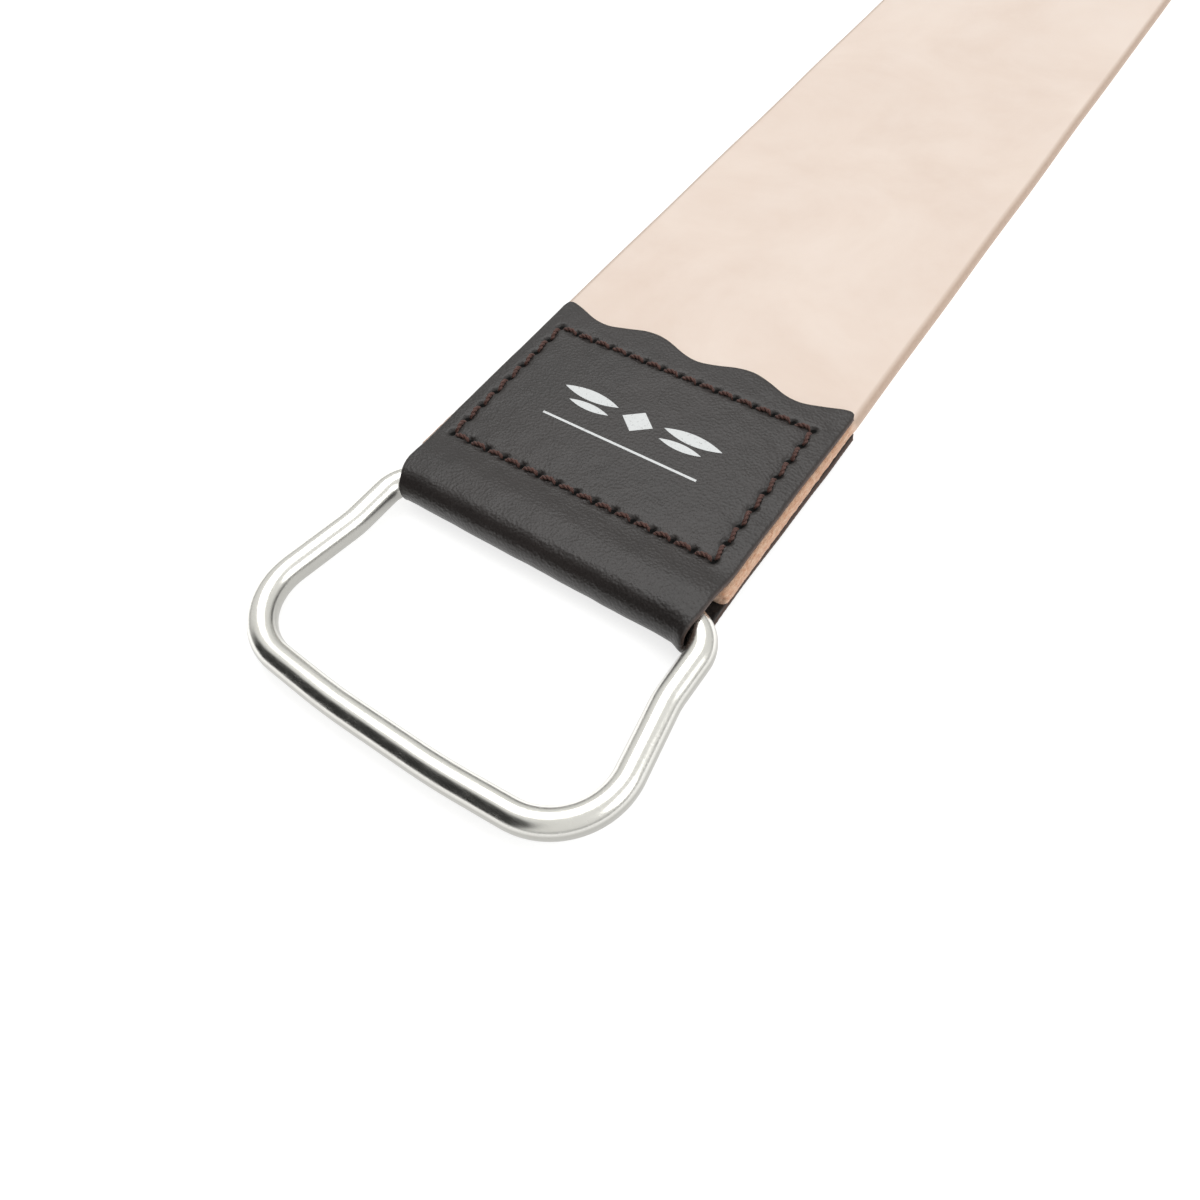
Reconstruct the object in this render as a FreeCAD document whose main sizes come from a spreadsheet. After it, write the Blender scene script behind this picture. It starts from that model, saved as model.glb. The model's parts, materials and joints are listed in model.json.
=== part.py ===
import FreeCAD, Part
import math
import os

from FreeCAD import Placement, Rotation, Vector

# A hanging leather strop: a pale strap with a dark leather tab folded and stitched over each end.
# The fold at the handle end holds a waisted ring of round wire, which is the handle. The fold at
# the other end holds a D-ring that carries a swivel snap hook for hanging the strop.
#
# +Y runs along the strap from the handle to the hook, +X across it, and +Z up out of the face
# that the blade is drawn over. The origin is under the middle of the whole strop, on the surface
# it lies on. Each tab and ring is drawn in a frame of its own: a tab's starts at the row of
# stitches next to its fold, with the fold towards -Y, and a ring's at the axis of its straight bar.

DIMENSIONS = {
    # how far a cut runs past what it cuts
    "cut_clearance": 1.0,
    # strap
    "strap_width": 60.0,
    "strap_thick": 3.0,
    "strap_edge_radius": 1.2,
    "strap_overhang": 3.8,
    "row_to_row": 430.0,
    "handle_row_place": -241.1,
    # tab leather
    "leaf_thick": 1.2,
    "tab_end_width": 58.0,
    "tab_fold_width": 56.8,
    "tab_length": 36.4,
    "scallop_length": 19.4,
    "scallop_height": 1.2,
    "loop_inside": 4.9,
    "loop_nose": 13.45,
    "loop_rise": 7.0,
    # stitches
    "stitches_across": 14,
    "stitches_along": 8,
    "stitch_width": 50.4,
    "stitch_length": 30.5,
    "hole_radius": 0.5,
    "thread_radius": 0.4,
    "thread_leg_radius": 0.35,
    "thread_corner_radius": 0.9,
    # wire of the handle and the D-ring
    "wire_radius": 2.3,
    "bar_setback": 8.4,
    "wire_corner_radius": 5.7,
    "neck_half": 29.75,
    "waist_reach": 13.1,
    "waist_radius": 18.0,
    "belly_corner_half": 33.6,
    "belly_corner_reach": 36.9,
    "belly_corner_radius": 11.1,
    "front_bow_half": 10.0,
    "front_bow_radius": 120.0,
    "handle_reach": 38.5,
    "ring_leg": 2.0,
    # swivel eye, measured from the centre of its ring
    "eye_radius": 4.1,
    "eye_wire_radius": 1.5,
    "collar_start": 5.0,
    "collar_end": 6.6,
    "collar_radius": 2.8,
    "shank_radius": 1.9,
    "head_start": 10.6,
    "head_end": 12.4,
    "head_radius": 3.4,
    # snap hook, measured from the centre of the swivel eye
    "snap_start": 7.0,
    "snap_mouth": 33.0,
    "snap_left": 10.6,
    "snap_right": 11.5,
    "snap_thick": 9.0,
    "snap_corner_radius": 4.0,
    "snap_edge_radius": 2.0,
    "swivel_bore_radius": 2.0,
    "window_half": 4.6,
    "window_start": 10.4,
    "window_end": 15.0,
    "window_corner_radius": 1.0,
    "hook_radius": 2.6,
    "hook_half": 8.0,
    "hook_turn": 45.0,
    "hook_tip": 43.0,
    "channel_start": 10.5,
    "channel_radius": 2.15,
    "bolt_radius": 2.05,
    "bolt_start": 24.0,
    "bolt_end": 42.9,
    "bolt_travel": 8.5,
    "knob_place": 28.5,
    "knob_post_radius": 1.1,
    "knob_post_end": 12.2,
    "knob_radius": 2.6,
    "knob_thick": 1.6,
    "knob_rim": 0.4,
    "slot_half": 1.3,
    "slot_corner_radius": 1.2,
    "spring_radius": 1.5,
    "spring_wire_radius": 0.25,
    "spring_turns": 8,
    "spring_gap": 0.1,
}

doc = FreeCAD.newDocument("strop")
sheet = doc.addObject("Spreadsheet::Sheet", "dims")
for row, (alias, value) in enumerate(DIMENSIONS.items(), start=1):
    sheet.set(f"A{row}", alias)
    sheet.set(f"B{row}", str(value))
    sheet.setAlias(f"B{row}", alias)
doc.recompute()


def size(alias):
    return float(getattr(sheet, alias))


# ---------------------------------------------------------------- sketching helpers


def new_body(label):
    body = doc.addObject("PartDesign::Body", label)
    body.Label = label
    return body


def origin_feature(body, role):
    return next(item for item in body.Origin.OriginFeatures if item.Role == role)


def new_sketch(body, name, plane, offset=0.0):
    """A sketch on one of the body's own planes, moved along that plane's normal by offset."""
    sketch = body.newObject("Sketcher::SketchObject", name)
    sketch.AttachmentSupport = (origin_feature(body, plane), [""])
    sketch.MapMode = "FlatFace"
    sketch.AttachmentOffset = Placement(Vector(0, 0, offset), Rotation())
    return sketch


def line(start, end):
    return Part.LineSegment(Vector(*start, 0), Vector(*end, 0))


def arc(start, middle, end):
    return Part.Arc(Vector(*start, 0), Vector(*middle, 0), Vector(*end, 0))


def circle(x, y, radius):
    return Part.Circle(Vector(x, y, 0), Vector(0, 0, 1), radius)


def polygon(points):
    return [line(a, b) for a, b in zip(points, points[1:] + points[:1])]


def rectangle(low_x, low_y, high_x, high_y):
    return polygon([(low_x, low_y), (high_x, low_y), (high_x, high_y), (low_x, high_y)])


def rounded_run(corners):
    """Lines joined by arcs. Each corner is (x, y, radius); the first and last are plain ends."""
    shapes = []
    place = Vector(corners[0][0], corners[0][1], 0)
    for before, here, after in zip(corners, corners[1:], corners[2:]):
        point = Vector(here[0], here[1], 0)
        back = (Vector(before[0], before[1], 0) - point).normalize()
        ahead = (Vector(after[0], after[1], 0) - point).normalize()
        half_angle = back.getAngle(ahead) / 2
        reach = here[2] / math.tan(half_angle)
        middle_reach = here[2] / math.sin(half_angle) - here[2]
        arc_start = point + back * reach
        arc_end = point + ahead * reach
        arc_middle = point + (back + ahead).normalize() * middle_reach
        shapes.append(Part.LineSegment(place, arc_start))
        shapes.append(Part.Arc(arc_start, arc_middle, arc_end))
        place = arc_end
    shapes.append(Part.LineSegment(place, Vector(corners[-1][0], corners[-1][1], 0)))
    return shapes


def rounded_rectangle(low_x, low_y, high_x, high_y, radius):
    """A closed rectangle with round corners, drawn from the middle of its lower side."""
    middle_x = (low_x + high_x) / 2
    return rounded_run(
        [
            (middle_x, low_y, 0),
            (high_x, low_y, radius),
            (high_x, high_y, radius),
            (low_x, high_y, radius),
            (low_x, low_y, radius),
            (middle_x, low_y, 0),
        ]
    )


def s_curve(start, end):
    """Two equal arcs that lead from one level line to another."""
    run = end[0] - start[0]
    rise = end[1] - start[1]
    radius = (run**2 + rise**2) / (4 * abs(rise))
    bend = math.copysign(radius - math.sqrt(radius**2 - (run / 4) ** 2), rise)
    middle = ((start[0] + end[0]) / 2, (start[1] + end[1]) / 2)
    return [
        arc(start, (start[0] + run / 4, start[1] + bend), middle),
        arc(middle, (end[0] - run / 4, end[1] - bend), end),
    ]


def pad_both_ways(body, sketch, name, length):
    """Pads a sketch half of the length to each side of its plane. length is an expression."""
    pad = body.newObject("PartDesign::Pad", name)
    pad.Profile = sketch
    pad.SideType = "Symmetric"
    pad.setExpression("Length", length)
    body.Tip = pad
    return pad


def pocket_through(body, sketch, name):
    """Cuts a sketch right through the body, to both sides of its plane."""
    pocket = body.newObject("PartDesign::Pocket", name)
    pocket.Profile = sketch
    pocket.SideType = "Symmetric"
    pocket.Type = "ThroughAll"
    body.Tip = pocket
    return pocket


def turn_about(body, kind, sketch, name, axis):
    """A Revolution or a Groove of a sketch, all the way round an axis."""
    feature = body.newObject(kind, name)
    feature.Profile = sketch
    feature.ReferenceAxis = axis
    feature.Angle = 360
    body.Tip = feature
    return feature


def pipe_along(body, path, profile, name):
    pipe = body.newObject("PartDesign::AdditivePipe", name)
    pipe.Profile = profile
    pipe.Spine = (path, [f"Edge{index + 1}" for index in range(path.GeometryCount)])
    body.Tip = pipe
    return pipe


def place_body(body, across, along, up, rotation=Rotation()):
    """Puts a body at expressions of the sheet's cells."""
    body.Placement = Placement(Vector(), rotation)
    body.setExpression(".Placement.Base.x", across)
    body.setExpression(".Placement.Base.y", along)
    body.setExpression(".Placement.Base.z", up)


# ---------------------------------------------------------------- places shared by the pieces

HALF_TURN = Rotation(Vector(0, 0, 1), 180)
UPSIDE_DOWN = Rotation(Vector(0, 1, 0), 180)

MIDDLE_HEIGHT = "dims.loop_inside / 2 + dims.leaf_thick"
HANDLE_ROW = "dims.handle_row_place"
HANGING_ROW = "dims.handle_row_place + dims.row_to_row"
HANDLE_BAR = "dims.handle_row_place - dims.bar_setback"
HANGING_BAR = "dims.handle_row_place + dims.row_to_row + dims.bar_setback"

middle_height = size("loop_inside") / 2 + size("leaf_thick")
eye_height = size("eye_radius") + size("eye_wire_radius")
ring_reach = size("wire_corner_radius") + size("ring_leg") + size("neck_half")
# The D-ring is tilted up a little, so that the swivel eye round its far side just lies on the
# same surface as the loops.
ring_tilt = math.asin((eye_height - middle_height) / ring_reach)
eye_along = (
    size("handle_row_place") + size("row_to_row") + size("bar_setback") + ring_reach * math.cos(ring_tilt)
)


def stitch_places():
    """Where the needle went through: a rectangle of holes, corners included, in a tab's frame."""
    across = round(size("stitches_across"))
    along = round(size("stitches_along"))
    half = size("stitch_width") / 2
    pitch_across = size("stitch_width") / across
    pitch_along = size("stitch_length") / along
    places = []
    for number in range(across + 1):
        for y in (0.0, size("stitch_length")):
            places.append((-half + number * pitch_across, y))
    for number in range(1, along):
        for x in (-half, half):
            places.append((x, number * pitch_along))
    return places


# ---------------------------------------------------------------- strap


def make_strap():
    """The long strap of pale leather, drawn from its middle, with the needle holes at both ends."""
    body = new_body("strop_leather")
    half_width = size("strap_width") / 2
    half_thick = size("strap_thick") / 2
    section = new_sketch(body, "strap_section", "XZ_Plane")
    section.addGeometry(
        rounded_rectangle(-half_width, -half_thick, half_width, half_thick, size("strap_edge_radius"))
    )
    pad_both_ways(body, section, "strap_pad", "dims.row_to_row + 2 * dims.strap_overhang")
    holes = new_sketch(body, "strap_needle_holes", "XY_Plane")
    half_rows = size("row_to_row") / 2
    for x, y in stitch_places():
        holes.addGeometry(circle(x, y - half_rows, size("hole_radius")))
        holes.addGeometry(circle(x, half_rows - y, size("hole_radius")))
    pocket_through(body, holes, "strap_needle_pocket")
    place_body(body, "0 mm", "dims.handle_row_place + dims.row_to_row / 2", MIDDLE_HEIGHT)
    return body


# ---------------------------------------------------------------- tabs


def tab_section():
    """The folded strip from the side: two flat leaves that swell into a round loop."""
    past_end = size("tab_length") + 2 * size("scallop_height")
    outer_flat = size("strap_thick") / 2 + size("leaf_thick")
    inner_flat = size("strap_thick") / 2
    inner_loop = size("loop_inside") / 2
    outer_loop = inner_loop + size("leaf_thick")
    rise_end = -size("loop_rise")
    nose_centre = outer_loop - size("loop_nose")
    shapes = []
    for side in (1, -1):
        shapes.append(line((past_end, side * outer_flat), (0, side * outer_flat)))
        shapes += s_curve((0, side * outer_flat), (rise_end, side * outer_loop))
        shapes.append(line((rise_end, side * outer_loop), (nose_centre, side * outer_loop)))
        shapes.append(line((past_end, side * inner_flat), (0, side * inner_flat)))
        shapes += s_curve((0, side * inner_flat), (rise_end, side * inner_loop))
        shapes.append(line((rise_end, side * inner_loop), (nose_centre, side * inner_loop)))
        shapes.append(line((past_end, side * outer_flat), (past_end, side * inner_flat)))
    for radius in (outer_loop, inner_loop):
        shapes.append(arc((nose_centre, radius), (nose_centre - radius, 0), (nose_centre, -radius)))
    return shapes


def scallop_arcs():
    """The wavy cut, from right to left: arcs that bow out and in by turns, one per half wave."""
    half_wave = size("scallop_length") / 2
    height = size("scallop_height")
    level = size("tab_length")
    radius = ((half_wave / 2) ** 2 + height**2) / (2 * height)
    edge = size("tab_end_width") / 2
    # Each end arc stops at its crest, so it is half as long as the others.
    crossings = [half_wave * (number + 0.5) for number in (2, 1, 0, -1, -2, -3)]
    crest = level + height
    quarter = half_wave / 4
    quarter_drop = radius - math.sqrt(radius**2 - quarter**2)
    end_height = crest - quarter_drop
    first, last = crossings[0], crossings[-1]
    shapes = [arc((edge, crest), (first + quarter, end_height), (first, level))]
    for number, (right, left) in enumerate(zip(crossings, crossings[1:])):
        bow = -height if number % 2 == 0 else height
        shapes.append(arc((right, level), ((right + left) / 2, level + bow), (left, level)))
    shapes.append(arc((last, level), (last - quarter, end_height), (-edge, crest)))
    return shapes


def tab_outline():
    """The strip from above: it narrows a little towards the fold and ends in the scallops."""
    crest = size("tab_length") + size("scallop_height")
    end_half = size("tab_end_width") / 2
    fold_half = size("tab_fold_width") / 2
    beyond_fold = -size("loop_nose") - size("cut_clearance")
    sides = [
        line((-end_half, crest), (-fold_half, beyond_fold)),
        line((-fold_half, beyond_fold), (fold_half, beyond_fold)),
        line((fold_half, beyond_fold), (end_half, crest)),
    ]
    return scallop_arcs() + sides


def make_tab(label, row, rotation):
    """A strip of dark leather folded round a wire, trimmed, opened for the wire and pierced."""
    body = new_body(label)
    section = new_sketch(body, label + "_section", "YZ_Plane")
    section.addGeometry(tab_section())
    pad_both_ways(body, section, label + "_pad", "dims.strap_width")

    trim = new_sketch(body, label + "_trim", "XY_Plane")
    trim.addGeometry(tab_outline())
    far = size("strap_width")
    trim.addGeometry(rectangle(-far, -far, far, far))
    pocket_through(body, trim, label + "_trim_pocket")

    # The loop opens out at both ends, concentric with the bends of the wire, which lets it swing.
    flare = new_sketch(body, label + "_flare", "XY_Plane")
    axis = -size("bar_setback")
    bend = size("wire_corner_radius")
    bend_x = size("neck_half") - bend
    radius = bend - size("loop_inside") / 2
    diagonal = radius * math.sqrt(0.5)
    far_x = size("strap_width") / 2 + size("cut_clearance")
    flare.addGeometry(line((-far_x, axis), (far_x, axis)), True)
    for side in (1, -1):
        arc_start = (side * bend_x, axis + bend - radius)
        arc_middle = (side * (bend_x + diagonal), axis + bend - diagonal)
        arc_end = (side * (bend_x + radius), axis + bend)
        flare.addGeometry(arc(arc_start, arc_middle, arc_end))
        flare.addGeometry(line(arc_end, (side * far_x, axis + bend)))
        flare.addGeometry(line((side * far_x, axis + bend), (side * far_x, axis)))
        flare.addGeometry(line((side * far_x, axis), (side * bend_x, axis)))
        flare.addGeometry(line((side * bend_x, axis), arc_start))
    turn_about(body, "PartDesign::Groove", flare, label + "_flare_groove", (flare, ["Axis0"]))

    holes = new_sketch(body, label + "_needle_holes", "XY_Plane")
    for x, y in stitch_places():
        holes.addGeometry(circle(x, y, size("hole_radius")))
    pocket_through(body, holes, label + "_needle_pocket")
    place_body(body, "0 mm", row, MIDDLE_HEIGHT, rotation)
    return body


def make_thread(label, row, rotation):
    """One side of the lockstitch: a rail of thread on the leaf, with legs down to the middle."""
    body = new_body(label)
    rail_height = size("strap_thick") / 2 + size("leaf_thick") + size("thread_radius")
    half = size("stitch_width") / 2
    path = new_sketch(body, label + "_path", "XY_Plane", rail_height)
    path.addGeometry(rounded_rectangle(-half, 0, half, size("stitch_length"), size("thread_corner_radius")))
    section = new_sketch(body, label + "_section", "YZ_Plane")
    section.addGeometry(circle(0, rail_height, size("thread_radius")))
    pipe_along(body, path, section, label + "_rail")

    feet = new_sketch(body, label + "_feet", "XY_Plane")
    for x, y in stitch_places():
        feet.addGeometry(circle(x, y, size("thread_leg_radius")))
    legs = body.newObject("PartDesign::Pad", label + "_legs")
    legs.Profile = feet
    legs.setExpression("Length", "dims.strap_thick / 2 + dims.leaf_thick + dims.thread_radius")
    body.Tip = legs
    place_body(body, "0 mm", row, MIDDLE_HEIGHT, rotation)
    return body


# ---------------------------------------------------------------- wire rings


def make_ring(label, path_shapes, along, rotation):
    """A closed ring of round wire along a path that starts at the middle of its straight bar."""
    body = new_body(label)
    path = new_sketch(body, label + "_path", "XY_Plane")
    path.addGeometry(path_shapes)
    section = new_sketch(body, label + "_section", "YZ_Plane")
    section.addGeometry(circle(0, 0, size("wire_radius")))
    pipe_along(body, path, section, label + "_pipe")
    place_body(body, "0 mm", along, MIDDLE_HEIGHT, rotation)
    return body


def handle_path():
    """The waisted handle: narrow at the loop, wider at the belly, with a gently bowed grip."""
    right = [
        (size("neck_half"), 0, size("wire_corner_radius")),
        (size("neck_half"), size("waist_reach"), size("waist_radius")),
        (size("belly_corner_half"), size("belly_corner_reach"), size("belly_corner_radius")),
        (size("front_bow_half"), size("handle_reach"), size("front_bow_radius")),
    ]
    left = [(-x, y, radius) for x, y, radius in reversed(right)]
    return rounded_run([(0, 0, 0)] + right + left + [(0, 0, 0)])


def d_ring_path():
    """A bar with two tight corners, two short legs and a half circle."""
    half = size("neck_half")
    corner = size("wire_corner_radius")
    leg_end = corner + size("ring_leg")
    start = rounded_run([(0, 0, 0), (half, 0, corner), (half, leg_end, 0)])
    finish = rounded_run([(-half, leg_end, 0), (-half, 0, corner), (0, 0, 0)])
    return start + [arc((half, leg_end), (0, leg_end + half), (-half, leg_end))] + finish


# ---------------------------------------------------------------- snap hook


def make_swivel_eye():
    """The eye that runs on the D-ring, with the shank and the head that hold the hook."""
    body = new_body("swivel_eye")
    ring = new_sketch(body, "eye_ring_section", "XY_Plane")
    ring.addGeometry(circle(0, size("eye_radius"), size("eye_wire_radius")))
    turn_about(
        body, "PartDesign::Revolution", ring, "eye_ring", (origin_feature(body, "X_Axis"), [""])
    )
    shank = new_sketch(body, "shank_section", "XY_Plane")
    shank.addGeometry(
        polygon(
            [
                (0, size("collar_start")),
                (size("collar_radius"), size("collar_start")),
                (size("collar_radius"), size("collar_end")),
                (size("shank_radius"), size("collar_end")),
                (size("shank_radius"), size("head_start")),
                (size("head_radius"), size("head_start")),
                (size("head_radius"), size("head_end")),
                (0, size("head_end")),
            ]
        )
    )
    turn_about(body, "PartDesign::Revolution", shank, "eye_shank", (origin_feature(body, "Y_Axis"), [""]))
    return body


def make_snap_body():
    """The cast hook: a block with the swivel bore and the bolt's channel, and a round C arm."""
    body = new_body("snap_body")
    block = new_sketch(body, "block_outline", "XY_Plane")
    block.addGeometry(
        rounded_rectangle(
            -size("snap_left"),
            size("snap_start"),
            size("snap_right"),
            size("snap_mouth"),
            size("snap_corner_radius"),
        )
    )
    pad = pad_both_ways(body, block, "block_pad", "dims.snap_thick")
    doc.recompute()
    flat_faces = [
        f"Face{number}"
        for number, face in enumerate(pad.Shape.Faces, start=1)
        if abs(face.normalAt(0, 0).z) > 0.9
    ]
    rounding = body.newObject("PartDesign::Fillet", "block_rounding")
    rounding.Base = (pad, flat_faces)
    rounding.setExpression("Radius", "dims.snap_edge_radius")
    body.Tip = rounding

    arm_start = size("snap_mouth") - size("snap_corner_radius")
    half = size("hook_half")
    arm_path = new_sketch(body, "arm_path", "XY_Plane")
    arm_path.addGeometry(line((-half, arm_start), (-half, size("hook_turn"))))
    arm_path.addGeometry(
        arc((-half, size("hook_turn")), (0, size("hook_turn") + half), (half, size("hook_turn")))
    )
    arm_path.addGeometry(line((half, size("hook_turn")), (half, size("hook_tip"))))
    arm_section = new_sketch(body, "arm_section", "XZ_Plane", -arm_start)
    arm_section.addGeometry(circle(-half, 0, size("hook_radius")))
    pipe_along(body, arm_path, arm_section, "arm_pipe")

    bore = new_sketch(body, "swivel_bore_section", "XY_Plane")
    bore_end = size("window_start") + size("cut_clearance")
    bore.addGeometry(rectangle(0, size("collar_end"), size("swivel_bore_radius"), bore_end))
    turn_about(
        body, "PartDesign::Groove", bore, "swivel_bore", (origin_feature(body, "Y_Axis"), [""])
    )
    window = new_sketch(body, "window_outline", "XY_Plane")
    window.addGeometry(
        rounded_rectangle(
            -size("window_half"),
            size("window_start"),
            size("window_half"),
            size("window_end"),
            size("window_corner_radius"),
        )
    )
    pocket_through(body, window, "window_pocket")

    channel = new_sketch(body, "channel_section", "XY_Plane")
    channel.addGeometry(line((half, 0), (half, size("snap_mouth"))), True)
    channel_end = size("snap_mouth") + size("cut_clearance")
    channel.addGeometry(
        rectangle(half, size("channel_start"), half + size("channel_radius"), channel_end)
    )
    turn_about(body, "PartDesign::Groove", channel, "channel_groove", (channel, ["Axis0"]))

    slot = new_sketch(body, "slot_outline", "YZ_Plane", half)
    slot.addGeometry(
        rounded_rectangle(
            size("knob_place") - size("bolt_travel") - size("slot_half"),
            -size("slot_half"),
            size("knob_place") + size("slot_half"),
            size("slot_half"),
            size("slot_corner_radius"),
        )
    )
    slot_pocket = body.newObject("PartDesign::Pocket", "slot_pocket")
    slot_pocket.Profile = slot
    slot_pocket.Reversed = True
    slot_pocket.setExpression("Length", "dims.snap_right")
    body.Tip = slot_pocket
    return body


def make_snap_bolt():
    """The sliding bolt, with a cross hole for the post of its knob."""
    body = new_body("snap_bolt")
    half = size("hook_half")
    round_section = new_sketch(body, "bolt_section", "XZ_Plane", -size("bolt_start"))
    round_section.addGeometry(circle(half, 0, size("bolt_radius")))
    pad = body.newObject("PartDesign::Pad", "bolt_pad")
    pad.Profile = round_section
    pad.Reversed = True
    pad.setExpression("Length", "dims.bolt_end - dims.bolt_start")
    body.Tip = pad
    hole = new_sketch(body, "bolt_cross_hole", "YZ_Plane", half)
    hole.addGeometry(circle(size("knob_place"), 0, size("knob_post_radius")))
    pocket = body.newObject("PartDesign::Pocket", "bolt_cross_pocket")
    pocket.Profile = hole
    pocket.Reversed = True
    pocket.setExpression("Length", "dims.bolt_radius + dims.cut_clearance")
    body.Tip = pocket
    return body


def make_thumb_knob():
    """The knob that draws the bolt back: a post set in the bolt, with a round head outside."""
    body = new_body("thumb_knob")
    half = size("hook_half")
    section = new_sketch(body, "knob_section", "XY_Plane")
    place = size("knob_place")
    rim = size("knob_rim")
    head_end = size("knob_post_end") + size("knob_thick")
    section.addGeometry(line((half, place), (head_end, place)), True)
    section.addGeometry(
        polygon(
            [
                (half, place),
                (half, place + size("knob_post_radius")),
                (size("knob_post_end"), place + size("knob_post_radius")),
                (size("knob_post_end"), place + size("knob_radius")),
                (head_end - rim, place + size("knob_radius")),
                (head_end, place + size("knob_radius") - rim),
                (head_end, place),
            ]
        )
    )
    turn_about(body, "PartDesign::Revolution", section, "knob_turned", (section, ["Axis0"]))
    return body


def make_bolt_spring():
    """The coil spring behind the bolt, swept along a helix."""
    wire = size("spring_wire_radius")
    room = "(dims.bolt_start - dims.channel_start - 2 * dims.spring_wire_radius - 2 * dims.spring_gap)"
    helix = doc.addObject("Part::Helix", "spring_helix")
    helix.setExpression("Radius", "dims.spring_radius")
    helix.setExpression("Height", room)
    helix.setExpression("Pitch", room + " / dims.spring_turns")
    section = doc.addObject("Part::Circle", "spring_section")
    section.setExpression("Radius", "dims.spring_wire_radius")
    section.Placement = Placement(
        Vector(size("spring_radius"), 0, 0), Rotation(Vector(1, 0, 0), 90)
    )
    sweep = doc.addObject("Part::Sweep", "bolt_spring")
    sweep.Sections = [section]
    sweep.Spine = (helix, [])
    sweep.Solid = True
    sweep.Frenet = True
    start = size("channel_start") + wire + size("spring_gap")
    lies_along = Rotation(Vector(1, 0, 0), -90)
    sweep.Placement = Placement(Vector(size("hook_half"), eye_along + start, eye_height), lies_along)
    return sweep


# ---------------------------------------------------------------- assembly

ring_tilt_turn = Rotation(Vector(1, 0, 0), math.degrees(ring_tilt))

pieces = [
    make_strap(),
    make_tab("handle_tab", HANDLE_ROW, Rotation()),
    make_thread("handle_tab_top_thread", HANDLE_ROW, Rotation()),
    make_thread("handle_tab_bobbin_thread", HANDLE_ROW, UPSIDE_DOWN),
    make_ring("wire_handle", handle_path(), HANDLE_BAR, HALF_TURN),
    make_tab("hanging_tab", HANGING_ROW, HALF_TURN),
    make_thread("hanging_tab_top_thread", HANGING_ROW, HALF_TURN),
    make_thread("hanging_tab_bobbin_thread", HANGING_ROW, HALF_TURN.multiply(UPSIDE_DOWN)),
    make_ring("hanging_ring", d_ring_path(), HANGING_BAR, ring_tilt_turn),
]

hook_pieces = [make_swivel_eye(), make_snap_body(), make_snap_bolt(), make_thumb_knob()]
for body in hook_pieces:
    body.Placement = Placement(Vector(0, eye_along, eye_height), Rotation())
pieces += hook_pieces
pieces.append(make_bolt_spring())

doc.recompute()


# ---------------------------------------------------------------- checks and export

for item in doc.Objects:
    if "Invalid" in item.State or "Error" in item.State:
        raise RuntimeError(f"{item.Name} failed: {item.State}")

os.makedirs("parts", exist_ok=True)
whole = FreeCAD.BoundBox()
for piece in pieces:
    shape = piece.Shape
    if shape.isNull() or not shape.isValid():
        raise RuntimeError(f"{piece.Label} has no valid shape")
    whole.add(shape.optimalBoundingBox())
    print(f"{piece.Label}: {len(shape.Solids)} solid(s), {shape.Volume:.1f} mm3")
    shape.exportStep(f"parts/{piece.Label}.step")
print(f"x {whole.XMin:.3f} to {whole.XMax:.3f}")
print(f"y {whole.YMin:.3f} to {whole.YMax:.3f}")
print(f"z {whole.ZMin:.3f} to {whole.ZMax:.3f}")
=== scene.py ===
import json
import math

import bpy
import numpy as np
from mathutils import Euler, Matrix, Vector


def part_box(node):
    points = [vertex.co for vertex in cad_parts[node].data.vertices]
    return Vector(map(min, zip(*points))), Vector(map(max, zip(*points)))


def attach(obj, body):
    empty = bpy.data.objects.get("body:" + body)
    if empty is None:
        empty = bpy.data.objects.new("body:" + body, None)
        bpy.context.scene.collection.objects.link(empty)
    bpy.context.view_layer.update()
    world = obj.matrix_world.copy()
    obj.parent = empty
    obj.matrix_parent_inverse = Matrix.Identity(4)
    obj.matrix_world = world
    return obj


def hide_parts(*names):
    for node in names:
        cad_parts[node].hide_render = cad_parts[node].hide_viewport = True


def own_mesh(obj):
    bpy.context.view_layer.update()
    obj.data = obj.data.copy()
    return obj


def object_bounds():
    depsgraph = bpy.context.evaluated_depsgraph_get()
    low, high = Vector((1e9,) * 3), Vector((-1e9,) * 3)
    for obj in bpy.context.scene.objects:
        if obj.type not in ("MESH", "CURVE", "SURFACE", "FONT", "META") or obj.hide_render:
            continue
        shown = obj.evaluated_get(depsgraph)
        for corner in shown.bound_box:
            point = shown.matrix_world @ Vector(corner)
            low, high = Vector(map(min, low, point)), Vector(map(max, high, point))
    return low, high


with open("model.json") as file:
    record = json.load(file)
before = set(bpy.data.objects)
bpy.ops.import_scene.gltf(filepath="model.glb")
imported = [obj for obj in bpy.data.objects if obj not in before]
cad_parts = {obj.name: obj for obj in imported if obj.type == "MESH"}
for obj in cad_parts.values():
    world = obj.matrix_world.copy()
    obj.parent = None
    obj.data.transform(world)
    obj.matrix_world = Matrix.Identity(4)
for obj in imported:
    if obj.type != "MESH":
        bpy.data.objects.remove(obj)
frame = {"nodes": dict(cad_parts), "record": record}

CAD_LOW, CAD_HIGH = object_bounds()

MM = 0.001

# Everything below is in millimetres in the row frame, and is turned into metres when a mesh is made.


def box_mm(node):
    low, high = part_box(node)
    return np.array(low) / MM, np.array(high) / MM


JOINTS = {joint["name"]: joint for joint in frame["record"]["behaviour"]["joints"]}


def joint_place(name):
    return np.array(JOINTS[name]["pos_m"]) / MM


# ---------------------------------------------------------------- sizes read from the frame

STRAP_LOW, STRAP_HIGH = box_mm("strop_leather")
STRAP_HALF = (STRAP_HIGH[0] - STRAP_LOW[0]) / 2
STRAP_THICK = STRAP_HIGH[2] - STRAP_LOW[2]
MIDDLE_Z = (STRAP_HIGH[2] + STRAP_LOW[2]) / 2

TAB_LOW, TAB_HIGH = box_mm("handle_tab")
LOOP_HALF = (TAB_HIGH[2] - TAB_LOW[2]) / 2

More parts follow.
